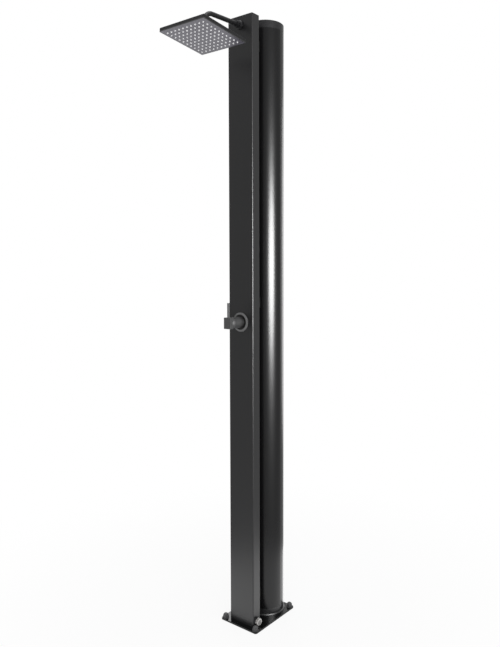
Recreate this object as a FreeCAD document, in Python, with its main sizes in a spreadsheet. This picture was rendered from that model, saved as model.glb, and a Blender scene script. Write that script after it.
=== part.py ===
import FreeCAD, Part
import math
import os
import re
import Sketcher
from FreeCAD import Placement, Rotation, Vector

# Outdoor solar shower post. Millimetres, +Z up, the user stands on the -Y side.
# The origin is the centre of the base plate's underside.

SIZES = [
    # base plate and its anchors
    ("plate_width", 170.0), ("plate_depth", 232.0), ("plate_thickness", 6.0),
    ("plate_corner", 8.0), ("anchor_inset", 13.0), ("anchor_hole_radius", 6.5),
    ("washer_radius", 12.0), ("washer_thickness", 2.5), ("nut_flats", 19.0),
    ("nut_height", 8.0), ("nut_total_height", 15.0), ("nut_dome_radius", 9.4),
    ("nut_thread_radius", 6.05), ("nut_thread_depth", 12.0),
    ("tab_width", 80.0), ("tab_height", 56.0), ("tab_thickness", 5.0),
    ("ring_radius", 52.0), ("ring_wall", 4.0), ("ring_height", 14.0), ("ring_clearance", 0.5),
    # column
    ("column_width", 112.0), ("column_depth", 40.0), ("column_wall", 2.0),
    ("column_corner", 4.0), ("column_height", 2200.0), ("front_overhang", 20.5),
    ("cap_thickness", 3.0), ("cap_skirt", 14.0), ("skirt_wall", 2.0),
    ("column_screw_level", 36.0), ("column_screw_spacing", 64.0), ("screw_radius", 2.5),
    ("screw_head_radius", 4.6), ("screw_head_height", 2.6),
    # clearances
    ("slip_gap", 0.2), ("running_gap", 0.05), ("joint_gap", 0.3),
    # tank
    ("tank_radius", 66.5), ("tank_wall", 3.2), ("tank_gap", 39.0), ("tank_rise", 7.0),
    ("tank_top_band", 27.0), ("tank_bottom_band", 25.0), ("tank_cap_wall", 3.0),
    ("tank_cap_chamfer", 2.0), ("tank_skirt", 26.0), ("skirt_thickness", 5.0),
    ("tank_seal_radius", 1.25), ("foot_lip", 4.0), ("foot_lip_edge", 1.5), ("foot_lip_height", 4.3),
    # bridges between column and tank
    ("bridge_width", 46.0), ("bridge_height", 36.0), ("bridge_horn", 6.0),
    ("lower_bridge_level", 96.0), ("middle_bridge_level", 1190.0),
    ("upper_bridge_drop", 95.0), ("bridge_bolt_spacing", 32.0),
    ("bridge_bolt_radius", 2.5), ("bridge_bolt_depth", 14.0),
    # inlet
    ("inlet_level", 24.0), ("inlet_setback", 17.0), ("inlet_radius", 13.2),
    ("inlet_neck_radius", 12.6),
    ("inlet_bore", 9.5), ("inlet_reach", 15.5), ("inlet_lip", 0.8),
    ("inlet_collar_radius", 15.0), ("inlet_collar_thickness", 6.0), ("inlet_tail", 22.0),
    ("inlet_tail_radius", 10.4), ("inlet_tail_bore", 7.5), ("inlet_seal_thickness", 1.0),
    ("locknut_flats", 25.0), ("locknut_thickness", 5.0), ("strainer_thickness", 1.6),
    ("strainer_recess", 0.8), ("strainer_slot_width", 1.6), ("strainer_pitch", 3.2),
    ("strainer_rim", 1.2), ("manifold_length", 80.0), ("manifold_depth", 26.0),
    ("manifold_height", 30.0), ("manifold_wall", 5.0), ("check_valve_length", 18.0),
    ("check_valve_radius", 10.5),
    # water pipes and hoses
    ("pipe_radius", 6.0), ("pipe_bore", 4.5), ("cross_pipe_radius", 7.0),
    ("cross_pipe_bore", 5.5), ("feed_entry", 8.0), ("feed_bend", 14.0), ("pipe_entry", 12.0),
    ("outlet_entry", 8.0), ("grommet_radius", 11.0), ("grommet_length", 10.0),
    ("fitting_wall", 5.0), ("fitting_gap", 3.2), ("fitting_half", 9.0), ("fitting_port_depth", 6.0),
    ("cold_hose_offset", -21.0), ("hot_hose_offset", 22.0), ("riser_setback", 15.5),
    ("ferrule_radius", 7.6), ("ferrule_length", 16.0), ("hose_entry", 12.0),
    # mixer
    ("mixer_level", 1122.0), ("rosette_radius", 34.5), ("rosette_rim", 3.0),
    ("rosette_height", 6.5), ("rosette_well_radius", 27.5), ("rosette_floor", 2.0),
    ("sleeve_radius", 20.0), ("sleeve_wall", 3.0),
    ("pivot_reach", 49.0), ("ball_opening", 13.5), ("valve_width", 66.0),
    ("valve_height", 52.0), ("valve_depth", 34.6), ("neck_radius", 15.0),
    ("neck_reach", 22.0), ("cartridge_radius", 12.0), ("cartridge_reach", 31.0),
    ("cartridge_depth", 14.0), ("cartridge_flange", 14.4), ("flange_thickness", 3.0),
    ("cartridge_nut_radius", 16.6), ("cartridge_nut_length", 14.0), ("nut_lip", 3.0),
    ("yoke_radius", 9.5), ("yoke_disc", 5.0), ("yoke_spigot_radius", 5.0),
    ("yoke_spigot", 8.0), ("ear_width", 9.0), ("ear_thickness", 3.5), ("ear_gap", 8.0),
    ("yoke_pin_radius", 1.6), ("stem_radius", 4.0), ("handle_width", 32.0),
    ("handle_height", 40.0), ("handle_thickness", 15.0), ("handle_standoff", 9.0),
    ("handle_corner", 1.2), ("handle_bevel", 0.6), ("handle_clearance", 0.5),
    ("handle_boss", 5.6), ("boss_depth", 17.0), ("stem_reach", 22.8), ("lever_radius", 4.7),
    ("lever_height", 51.5), ("lever_chamfer", 0.6), ("lever_thread_radius", 2.0),
    ("lever_thread", 5.0), ("grub_radius", 1.5), ("grub_length", 11.0), ("grub_wall", 1.0),
    # shower arm
    ("arm_drop", 31.0), ("arm_slope", 2.2), ("arm_radius", 8.0), ("arm_wall", 1.5),
    ("arm_bend", 40.0), ("arm_tail", 12.0), ("arm_hole_gap", 1.0),
    ("arm_flange_radius", 15.5), ("arm_flange_thickness", 8.0), ("arm_flange_rim", 5.0),
    ("arm_nut_radius", 12.0), ("arm_nut_length", 14.0), ("arm_nut_chamfer", 0.8),
    ("arm_nut_gap", 0.6), ("elbow_size", 26.0), ("elbow_depth", 22.0),
    ("elbow_above", 12.0), ("elbow_below", 24.0),
    # shower head
    ("head_side", 200.0), ("head_thickness", 13.0), ("head_drop", 25.0),
    ("head_hang", 94.2), ("head_reach", 185.8), ("head_tilt", 6.75),
    ("face_thickness", 3.5), ("face_corner", 2.0), ("shell_wall", 2.2), ("rim_width", 5.0),
    ("head_chamfer", 0.6), ("gasket_height", 1.2), ("gasket_inset", 0.6),
    ("nozzle_count", 10), ("nozzle_pitch", 18.0), ("nozzle_radius", 2.9),
    ("nozzle_tip_radius", 2.2), ("nozzle_length", 2.8), ("nozzle_bore", 1.0),
    ("nozzle_fit", 0.1), ("mat_thickness", 1.2), ("mat_margin", 9.0),
    # swivel, heights counted up the neck from the ball's centre
    ("ball_radius", 9.0), ("ball_bore", 3.5), ("ball_neck_radius", 5.0),
    ("seat_wall", 1.5), ("seal_top", 6.9), ("seat_top", 7.4), ("seat_bottom", 5.6),
    ("swivel_nut_radius", 12.5), ("swivel_nut_length", 12.0), ("swivel_nut_gap", 12.0),
    ("arm_end", 16.0), ("collar_radius", 17.5), ("collar_top_radius", 13.5),
    ("collar_top", 7.0), ("socket_radius", 15.0), ("socket_drop", 3.0),
    ("socket_drain_radius", 8.0),
]

PLACES = [
    # Y of the column's faces, the tank's axis and the inlet
    ("column_front", "-plate_depth / 2 + front_overhang"),
    ("column_back", "column_front + column_depth"),
    ("column_middle", "column_front + column_depth / 2"),
    ("column_inside_front", "column_front + column_wall"),
    ("column_inside_back", "column_back - column_wall"),
    ("tank_front", "column_back + tank_gap"),
    ("tank_axis", "tank_front + tank_radius"),
    ("inlet_y", "column_front + inlet_setback"),
    ("fitting_back", "column_inside_back - fitting_gap"),
    ("fitting_depth", "outlet_entry + fitting_wall"),
    ("hot_hose_y", "fitting_back - fitting_depth / 2"),
    ("riser_y", "column_front + riser_setback"),
    # X of the anchors, the column's side and the inlet
    ("anchor_x", "plate_width / 2 - anchor_inset"),
    ("anchor_y", "plate_depth / 2 - anchor_inset"),
    ("side_x", "column_width / 2"),
    ("column_inside_x", "side_x - column_wall"),
    ("inlet_end", "side_x + inlet_reach"),
    ("strainer_seat", "strainer_recess + strainer_thickness"),
    ("manifold_right", "side_x - inlet_tail + hose_entry"),
    ("manifold_left", "manifold_right - manifold_length"),
    ("manifold_top", "inlet_level + manifold_height / 2"),
    # tank
    ("tank_height", "column_height + tank_rise"),
    ("tank_inside", "tank_radius - tank_wall"),
    ("tank_tube_bottom", "plate_thickness + tank_bottom_band"),
    ("tank_tube_top", "tank_height - tank_top_band"),
    ("upper_bridge_level", "tank_height - upper_bridge_drop"),
    # mixer, along -Y from the column's front
    ("pivot_y", "column_front - pivot_reach"),
    ("handle_back", "pivot_y - handle_standoff"),
    ("grub_y", "handle_back - handle_thickness + grub_wall + grub_radius"),
    ("recess_radius", "sleeve_radius + handle_clearance"),
    ("valve_middle", "column_inside_front + valve_depth / 2"),
    # arm: its corner is where its falling line meets the head's neck line
    ("arm_level", "column_height - arm_drop"),
    ("head_level", "arm_level - head_hang"),
    ("ball_y", "column_front - head_reach + head_drop * sin(head_tilt)"),
    ("ball_z", "head_level + head_drop * cos(head_tilt)"),
    ("arm_rise", "(arm_level - ball_z + tan(arm_slope) * (ball_y - column_front))"
                 " / (cos(head_tilt) - tan(arm_slope) * sin(head_tilt))"),
    ("arm_corner", "(column_front - ball_y - arm_rise * sin(head_tilt)) / cos(arm_slope)"),
    ("elbow_bottom", "arm_level - elbow_below"),
    # heights in the head, counted up the neck from the ball's centre
    ("shell_top", "-head_drop + head_thickness"),
    ("face_top", "-head_drop + face_thickness"),
    ("seal_inner", "ball_radius + joint_gap"),
    ("seal_radius", "seal_inner + seat_wall"),
    ("seat_inner", "seal_radius + joint_gap"),
    ("seat_radius", "seat_inner + seat_wall"),
    ("socket_ball", "seat_radius + joint_gap"),
]

SAME_POINT = 1e-6  # mm, points closer than this are one point
EDGE_MARGIN = 0.01  # mm, how far below a face its own edges still count as its edges

doc = FreeCAD.newDocument("shower_post")
sheet = doc.addObject("Spreadsheet::Sheet", "Dimensions")
for row, (alias, size) in enumerate(SIZES, start=1):
    sheet.set("A%d" % row, alias)
    sheet.set("B%d" % row, str(size))
    sheet.setAlias("B%d" % row, alias)

SIZE_NAMES = {alias for alias, size in SIZES}
PLACE_NAMES = {alias for alias, formula in PLACES}
FUNCTIONS = {"sin", "cos", "tan", "atan", "sqrt", "pow", "max", "abs"}


def sized(text):
    """Turn plain size names into references to the two sheets."""
    def reference(match):
        word = match.group(0)
        if word in SIZE_NAMES:
            return "Dimensions." + word
        if word in PLACE_NAMES:
            return "Places." + word
        if word not in FUNCTIONS:
            raise ValueError("unknown size " + word)
        return word
    return re.sub(r"[a-z][a-z0-9_]*", reference, str(text))


places = doc.addObject("Spreadsheet::Sheet", "Places")
for row, (alias, formula) in enumerate(PLACES, start=1):
    local = re.sub(r"Places\.", "", sized(formula))
    places.set("A%d" % row, alias)
    places.set("B%d" % row, "=" + local)
    places.setAlias("B%d" % row, alias)
doc.recompute()

TURNS = {
    "z": Rotation(),
    "-z": Rotation(Vector(1, 0, 0), 180),
    "x": Rotation(Vector(0, 1, 0), 90),
    "-x": Rotation(Vector(0, 1, 0), -90),
    "y": Rotation(Vector(1, 0, 0), -90),
    "-y": Rotation(Vector(1, 0, 0), 90),
}


def place(piece, at=("0", "0", "0"), along="z"):
    """Stand a piece at a point, its own Z pointing along a frame axis."""
    piece.Placement = Placement(Vector(), TURNS[along])
    for axis, text in zip("xyz", at):
        if str(text) != "0":
            piece.setExpression("Placement.Base." + axis, sized(text))
    return piece


def tilt(piece, offset="0"):
    """Stand a head piece up the neck from the ball's centre, front edge raised as at rest."""
    place(piece, ("0", "ball_y + (%s) * sin(head_tilt)" % offset,
                  "ball_z + (%s) * cos(head_tilt)" % offset))
    piece.Placement = Placement(piece.Placement.Base, Rotation(Vector(1, 0, 0), 1))
    piece.setExpression("Placement.Rotation.Angle", sized("-head_tilt"))
    return piece


def primitive(kind, name, sizes, at=("0", "0", "0"), along="z"):
    piece = doc.addObject("Part::" + kind, name)
    for prop, text in sizes.items():
        piece.setExpression(prop, sized(text))
    return place(piece, at, along)


def rod(name, radius, length, at=("0", "0", "0"), along="z"):
    return primitive("Cylinder", name, {"Radius": radius, "Height": length}, at, along)


def ball(name, radius, at=("0", "0", "0")):
    return primitive("Sphere", name, {"Radius": radius}, at)


def block(name, width, depth, height, at):
    """A box centred on X and Y over its foot."""
    foot = ("(%s) - (%s) / 2" % (at[0], width), "(%s) - (%s) / 2" % (at[1], depth), at[2])
    return primitive("Box", name, {"Length": width, "Width": depth, "Height": height}, foot)


def fuse(name, pieces):
    whole = doc.addObject("Part::MultiFuse", name)
    whole.Shapes = pieces
    whole.Refine = True
    return whole


def cut(name, base, tools):
    whole = doc.addObject("Part::Cut", name)
    whole.Base = base
    whole.Tool = tools[0] if len(tools) == 1 else fuse(name + "_tools", tools)
    whole.Refine = True
    return whole


def group(name, pieces):
    whole = doc.addObject("Part::Compound", name)
    whole.Links = pieces
    return whole


def tube(name, radius, bore, length, at=("0", "0", "0"), along="z"):
    return revolved(name, [(bore, "0"), (radius, "0"), (radius, length), (bore, length)], at, along)


def plane_of(body, role):
    return next(item for item in body.Origin.OriginFeatures if item.Role == role)


def new_sketch(body, name, role):
    sketch = body.newObject("Sketcher::SketchObject", name)
    sketch.AttachmentSupport = [(plane_of(body, role), "")]
    sketch.MapMode = "FlatFace"
    return sketch


def pin_point(sketch, line, end, across, up):
    """Hold one end of a line at sized coordinates, or on an axis where one is 0."""
    for kind, text, axis in (("DistanceX", across, -2), ("DistanceY", up, -1)):
        if str(text) == "0":
            sketch.addConstraint(Sketcher.Constraint("PointOnObject", line, end, axis))
            continue
        index = sketch.addConstraint(Sketcher.Constraint(kind, -1, 1, line, end, 1.0))
        sketch.setExpression("Constraints[%d]" % index, sized(text))


def value(text):
    """The present number behind one sized coordinate, to draw a sketch near its solution."""
    probe.setExpression("number", sized(text))
    probe.recompute()
    return float(probe.number)


probe = doc.addObject("App::FeaturePython", "Probe")
probe.addProperty("App::PropertyFloat", "number")


def closed_outline(sketch, points):
    """A closed run of straight lines through sized points."""
    corners = [Vector(value(a), value(b), 0) for a, b in points]
    count = len(points)
    for n in range(count):
        sketch.addGeometry(Part.LineSegment(corners[n], corners[(n + 1) % count]), False)
    for n in range(count):
        sketch.addConstraint(Sketcher.Constraint("Coincident", n, 2, (n + 1) % count, 1))
    for n, (across, up) in enumerate(points):
        pin_point(sketch, n, 1, across, up)


def revolved(name, points, at=("0", "0", "0"), along="z"):
    """A turned piece: an outline of (radius, height) points spun about the piece's own Z."""
    body = doc.addObject("PartDesign::Body", name)
    sketch = new_sketch(body, name + "_outline", "XZ_Plane")
    closed_outline(sketch, points)
    spin = body.newObject("PartDesign::Revolution", name + "_turned")
    spin.Profile = sketch
    spin.ReferenceAxis = (sketch, ["V_Axis"])
    spin.Angle = 360
    sketch.Visibility = False
    return place(body, at, along)


def rectangle(sketch, width, depth):
    """A rectangle centred on the sketch's origin."""
    half_w, half_d = "(%s) / 2" % width, "(%s) / 2" % depth
    closed_outline(sketch, [("-" + half_w, "-" + half_d), (half_w, "-" + half_d),
                            (half_w, half_d), ("-" + half_w, half_d)])


def edge_names(feature, wanted):
    return ["Edge%d" % n for n, edge in enumerate(feature.Shape.Edges, start=1) if wanted(edge)]


def upright(edge):
    """True for an edge that runs along the piece's own Z."""
    span = edge.Vertexes[0].Point.sub(edge.Vertexes[-1].Point)
    return abs(span.z) > SAME_POINT and span.cross(Vector(0, 0, 1)).Length < SAME_POINT


def level_edge(edge):
    return not upright(edge)


def slab(name, width, depth, height, corner, at=("0", "0", "0"), along="z"):
    """A padded rectangle centred over its foot, with rounded upright edges."""
    body = doc.addObject("PartDesign::Body", name)
    sketch = new_sketch(body, name + "_outline", "XY_Plane")
    rectangle(sketch, width, depth)
    pad = body.newObject("PartDesign::Pad", name + "_pad")
    pad.Profile = sketch
    pad.setExpression("Length", sized(height))
    doc.recompute()
    rounding = body.newObject("PartDesign::Fillet", name + "_corners")
    rounding.Base = (pad, edge_names(pad, upright))
    rounding.setExpression("Radius", sized(corner))
    return place(body, at, along)


def bevel(body, name, size, wanted):
    """A small chamfer on chosen edges of a body's last feature."""
    doc.recompute()
    last = body.Tip
    edge = body.newObject("PartDesign::Chamfer", name)
    edge.Base = (last, edge_names(last, wanted))
    edge.setExpression("Size", sized(size))
    return body


def shell_frame(name, width, depth, height, corner, wall, at=("0", "0", "0")):
    """A rounded rectangular ring."""
    outer = slab(name + "_outer", width, depth, height, corner, at)
    inner = slab(name + "_inner", "%s - 2 * (%s)" % (width, wall), "%s - 2 * (%s)" % (depth, wall),
                 height, "max(%s - (%s); 0.5)" % (corner, wall), at)
    return cut(name, outer, [inner])


def bent_tube(name, radius, bore, corner, turn, beyond, bend, at, along="z"):
    """A tube that climbs its own Z to a corner, turns towards +Y and runs beyond it.

    A negative turn bends it towards -Y.
    """
    body = doc.addObject("PartDesign::Body", name)
    path = new_sketch(body, name + "_path", "YZ_Plane")
    top, angle = value(corner), math.radians(value(turn))
    far, curve = value(beyond), value(bend)
    side = 1 if angle > 0 else -1
    reach = curve * math.tan(abs(angle) / 2)
    apex = Vector(0, top, 0)
    heading = Vector(math.sin(angle), math.cos(angle), 0)
    first, second = Vector(0, top - reach, 0), apex + heading * reach
    centre = first + Vector(side * curve, 0, 0)
    middle = centre + (apex - centre).normalize() * curve
    path.addGeometry(Part.LineSegment(Vector(), first), False)
    path.addGeometry(Part.Arc(first, middle, second), False)
    path.addGeometry(Part.LineSegment(second, apex + heading * far), False)
    path.addGeometry(Part.LineSegment(apex, second), True)
    starts, ends = (2, 1) if side > 0 else (1, 2)
    for rule in (("Coincident", 0, 1, -1, 1), ("PointOnObject", 0, 2, -2),
                 ("Tangent", 0, 2, 1, starts), ("Tangent", 1, ends, 2, 1),
                 ("PointOnObject", 3, 1, -2), ("Coincident", 3, 2, 2, 1), ("Parallel", 3, 2)):
        path.addConstraint(Sketcher.Constraint(*rule))
    for rule, text in ((("Radius", 1, curve), bend), (("DistanceY", -1, 1, 3, 1, top), corner)):
        index = path.addConstraint(Sketcher.Constraint(*rule))
        path.setExpression("Constraints[%d]" % index, sized(text))
    pin_point(path, 2, 2, "(%s) * sin(%s)" % (beyond, turn),
              "%s + (%s) * cos(%s)" % (corner, beyond, turn))
    ring = new_sketch(body, name + "_ring", "XY_Plane")
    for n, text in enumerate((radius, bore)):
        ring.addGeometry(Part.Circle(Vector(), Vector(0, 0, 1), value(text)), False)
        ring.addConstraint(Sketcher.Constraint("Coincident", n, 3, -1, 1))
        index = ring.addConstraint(Sketcher.Constraint("Radius", n, value(text)))
        ring.setExpression("Constraints[%d]" % index, sized(text))
    sweep = body.newObject("PartDesign::AdditivePipe", name + "_sweep")
    sweep.Profile = ring
    sweep.Spine = (path, ["Edge1", "Edge2", "Edge3"])
    return place(body, at, along)


# ---- base plate with its anchors ----

ANCHOR_POINTS = [("%d * anchor_x" % sx, "%d * anchor_y" % sy) for sx in (-1, 1) for sy in (-1, 1)]


def at_anchors(name, make):
    return group(name, [make("%s_%d" % (name, n), x, y)
                        for n, (x, y) in enumerate(ANCHOR_POINTS, start=1)])


plate = slab("plate_sheet", "plate_width", "plate_depth", "plate_thickness", "plate_corner")
tab = block("column_tab", "tab_width", "tab_thickness", "tab_height",
            ("0", "column_inside_back - tab_thickness / 2", "plate_thickness"))
locating_ring = tube("locating_ring", "ring_radius", "ring_radius - ring_wall", "ring_height",
                     ("0", "tank_axis", "plate_thickness"))
anchor_holes = [rod("anchor_hole_%d" % n, "anchor_hole_radius", "plate_thickness", (x, y, "0"))
                for n, (x, y) in enumerate(ANCHOR_POINTS, start=1)]
tab_threads = [rod("tab_thread_%d" % n, "screw_radius + running_gap", "2 * tab_thickness",
                   ("%d * column_screw_spacing / 2" % side, "column_back", "column_screw_level"),
                   "-y") for n, side in enumerate((-1, 1))]
cut("base_plate", fuse("plate_weldment", [plate, tab, locating_ring]), anchor_holes + tab_threads)

at_anchors("anchor_washers", lambda name, x, y: tube(
    name, "washer_radius", "anchor_hole_radius", "washer_thickness", (x, y, "plate_thickness")))


def cap_nut(name, x, y):
    """A domed nut over an anchor stud, open at its foot only."""
    foot = "plate_thickness + washer_thickness"
    prism = primitive("Prism", name + "_flats", {"Circumradius": "nut_flats / sqrt(3)",
                                                 "Height": "nut_height"}, (x, y, foot))
    prism.Polygon = 6
    dome = primitive("Sphere", name + "_dome", {"Radius": "nut_dome_radius"},
                     (x, y, "%s + nut_total_height - nut_dome_radius" % foot))
    dome.Angle1 = 0
    thread = rod(name + "_thread", "nut_thread_radius", "nut_thread_depth", (x, y, foot))
    return cut(name, fuse(name + "_solid", [prism, dome]), [thread])


at_anchors("anchor_cap_nuts", cap_nut)

# ---- column ----

walls = shell_frame("column_walls", "column_width", "column_depth",
                    "column_height - cap_thickness - plate_thickness", "column_corner",
                    "column_wall", ("0", "column_middle", "plate_thickness"))


def wall_hole(name, radius, x, level, side):
    """A drill through the front or back wall only."""
    start = {"front": "column_front", "back": "column_inside_back"}[side]
    return rod(name, radius, "column_wall", (x, start, level), "y")


BRIDGES = [("lower_bridge", "lower_bridge_level"), ("middle_bridge", "middle_bridge_level"),
           ("upper_bridge", "upper_bridge_level")]
column_holes = [
    wall_hole("valve_hole", "neck_radius + slip_gap", "0", "mixer_level", "front"),
    wall_hole("arm_hole", "arm_radius + arm_hole_gap", "0", "arm_level", "front"),
    wall_hole("feed_hole", "cross_pipe_radius + slip_gap", "0", "lower_bridge_level", "back"),
    wall_hole("outlet_hole", "cross_pipe_radius + slip_gap", "0", "upper_bridge_level", "back"),
    rod("inlet_hole", "inlet_tail_radius + slip_gap", "column_wall",
        ("side_x - column_wall", "inlet_y", "inlet_level"), "x"),
]
column_holes += [wall_hole("tab_screw_hole_%d" % n, "screw_radius + slip_gap",
                           "%d * column_screw_spacing / 2" % side, "column_screw_level", "back")
                 for n, side in enumerate((-1, 1))]
column_holes += [wall_hole("%s_hole_%d" % (name, n), "bridge_bolt_radius + slip_gap",
                           "%d * bridge_bolt_spacing / 2" % side, level, "back")
                 for name, level in BRIDGES for n, side in enumerate((-1, 1))]
cut("column_profile", walls, column_holes)

lid = slab("column_lid", "column_width", "column_depth", "cap_thickness", "column_corner",
           ("0", "column_middle", "column_height - cap_thickness"))
lid_skirt = shell_frame("column_lid_skirt", "column_width - 2 * column_wall - 2 * slip_gap",
                        "column_depth - 2 * column_wall - 2 * slip_gap", "cap_skirt",
                        "column_corner - column_wall", "skirt_wall",
                        ("0", "column_middle", "column_height - cap_thickness - cap_skirt"))
fuse("column_cap", [lid, lid_skirt])


def screw(name, radius, length, head_radius, head_height, at, along):
    """A pan head with its shank; the head's underside stands on the point."""
    shank = rod(name + "_shank", radius, length, at, along)
    back = {"y": "-", "-y": "+"}[along]
    head_at = (at[0], "%s %s %s" % (at[1], back, head_height), at[2])
    head = rod(name + "_head", head_radius, head_height, head_at, along)
    return fuse(name, [shank, head])


group("column_screws", [screw(
    "column_screw_%d" % n, "screw_radius", "column_wall + tab_thickness", "screw_head_radius",
    "screw_head_height", ("%d * column_screw_spacing / 2" % side, "column_back",
                          "column_screw_level"), "-y") for n, side in enumerate((-1, 1))])

# ---- tank ----

tank_wall_holes = [rod("tank_hole_%d" % n, "grommet_radius + running_gap", "tank_radius",
                       ("0", "tank_front - slip_gap", level), "y")
                   for n, level in enumerate(("lower_bridge_level", "upper_bridge_level"))]
cut("tank_tube", tube("tank_wall_tube", "tank_radius", "tank_inside",
                      "tank_tube_top - tank_tube_bottom", ("0", "tank_axis", "tank_tube_bottom")),
    tank_wall_holes)


def cap_skirt_outline(start, away):
    """The skirt of a tank cap inside the tube, with its seal groove; away is +1 up or -1 down."""
    outer = "tank_inside - slip_gap"
    groove = "tank_inside - 2 * tank_seal_radius - 2 * running_gap"
    middle = "tank_skirt / 2"
    half = "(tank_seal_radius + running_gap)"

    def level(text):
        return "%s + %d * (%s)" % (start, away, text)

    return [(outer, start), (outer, level("%s - %s" % (middle, half))),
            (groove, level("%s - %s" % (middle, half))), (groove, level("%s + %s" % (middle, half))),
            (outer, level("%s + %s" % (middle, half))), (outer, level("tank_skirt")),
            ("tank_inside - skirt_thickness", level("tank_skirt"))]


top = "tank_height - plate_thickness"
top_start = "tank_tube_top - plate_thickness"
revolved("tank_top_cap", [("0", top), ("tank_radius - tank_cap_chamfer", top),
                          ("tank_radius", "%s - tank_cap_chamfer" % top),
                          ("tank_radius", top_start)]
         + cap_skirt_outline(top_start, -1)
         + [("tank_inside - skirt_thickness", "%s - tank_cap_wall" % top),
            ("0", "%s - tank_cap_wall" % top)], ("0", "tank_axis", "plate_thickness"))
floor_level = "ring_height + slip_gap"
revolved("tank_bottom_cap", [("0", floor_level), ("ring_radius + ring_clearance", floor_level),
                             ("ring_radius + ring_clearance", "0"),
                             ("tank_radius + foot_lip", "0"),
                             ("tank_radius + foot_lip", "foot_lip_edge"),
                             ("tank_radius", "foot_lip_height"),
                             ("tank_radius", "tank_bottom_band")]
         + cap_skirt_outline("tank_bottom_band", 1)
         + [("tank_inside - skirt_thickness", "%s + tank_cap_wall" % floor_level),
            ("0", "%s + tank_cap_wall" % floor_level)], ("0", "tank_axis", "plate_thickness"))
group("tank_seals", [primitive(
    "Torus", "tank_seal_%d" % n, {"Radius1": "tank_inside - tank_seal_radius - running_gap",
                                  "Radius2": "tank_seal_radius"}, ("0", "tank_axis", level))
    for n, level in enumerate(("tank_tube_bottom + tank_skirt / 2", "tank_tube_top - tank_skirt / 2"))])

# ---- bridges that tie the tank to the column ----

for name, level in BRIDGES:
    foot = "%s - bridge_height / 2" % level
    spacer = block(name + "_spacer", "bridge_width", "tank_gap + bridge_horn", "bridge_height",
                   ("0", "column_back + (tank_gap + bridge_horn) / 2", foot))
    tools = [rod(name + "_saddle", "tank_radius + running_gap", "bridge_height",
                 ("0", "tank_axis", foot))]
    tools += [rod("%s_thread_%d" % (name, n), "bridge_bolt_radius + running_gap",
                  "bridge_bolt_depth + slip_gap",
                  ("%d * bridge_bolt_spacing / 2" % side, "column_back", level), "y")
              for n, side in enumerate((-1, 1))]
    if name != "middle_bridge":
        tools.append(rod(name + "_passage", "grommet_radius + running_gap", "tank_gap + bridge_horn",
                         ("0", "column_back", level), "y"))
    cut(name, spacer, tools)
group("bridge_bolts", [screw(
    "%s_bolt_%d" % (name, n), "bridge_bolt_radius", "column_wall + bridge_bolt_depth",
    "screw_head_radius", "screw_head_height",
    ("%d * bridge_bolt_spacing / 2" % side, "column_inside_back", level), "y")
    for name, level in BRIDGES for n, side in enumerate((-1, 1))])

# ---- inlet, manifold and the cold side ----

revolved("inlet_nipple", [
    ("inlet_tail_bore", "-inlet_tail"), ("inlet_tail_radius", "-inlet_tail"),
    ("inlet_tail_radius", "inlet_seal_thickness"),
    ("inlet_neck_radius", "inlet_seal_thickness"),
    ("inlet_neck_radius", "inlet_collar_thickness"), ("inlet_radius", "inlet_collar_thickness"),
    ("inlet_radius", "inlet_reach - inlet_lip"), ("inlet_radius - inlet_lip", "inlet_reach"),
    ("inlet_bore", "inlet_reach"), ("inlet_bore", "inlet_reach - strainer_seat"),
    ("inlet_tail_bore", "inlet_reach - strainer_seat")], ("side_x", "inlet_y", "inlet_level"), "x")
tube("inlet_seal", "inlet_neck_radius", "inlet_tail_radius + running_gap", "inlet_seal_thickness",
     ("side_x", "inlet_y", "inlet_level"), "x")
tube("inlet_flange", "inlet_collar_radius", "inlet_neck_radius + running_gap",
     "inlet_collar_thickness", ("side_x", "inlet_y", "inlet_level"), "x")
hexagon = primitive("Prism", "locknut_blank", {"Circumradius": "locknut_flats / sqrt(3)",
                                               "Height": "locknut_thickness"},
                    ("column_inside_x - locknut_thickness", "inlet_y", "inlet_level"), "x")
hexagon.Polygon = 6
cut("inlet_locknut", hexagon, [rod("locknut_thread", "inlet_tail_radius + running_gap",
                                   "locknut_thickness",
                                   ("column_inside_x - locknut_thickness", "inlet_y",
                                    "inlet_level"), "x")])
strainer_at = "inlet_end - strainer_seat"
strainer_disc = rod("strainer_disc", "inlet_bore - running_gap", "strainer_thickness",
                    (strainer_at, "inlet_y", "inlet_level"), "x")
strainer_slots = [block("strainer_slot_%d" % n, "3 * strainer_thickness", "strainer_slot_width",
                        "2 * sqrt(pow(inlet_bore - strainer_rim; 2)"
                        " - pow(%d * strainer_pitch; 2))" % abs(n),
                        (strainer_at, "inlet_y + %d * strainer_pitch" % n,
                         "inlet_level - sqrt(pow(inlet_bore - strainer_rim; 2)"
                         " - pow(%d * strainer_pitch; 2))" % abs(n))) for n in (-2, -1, 0, 1, 2)]
cut("inlet_strainer", strainer_disc, strainer_slots)

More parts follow.
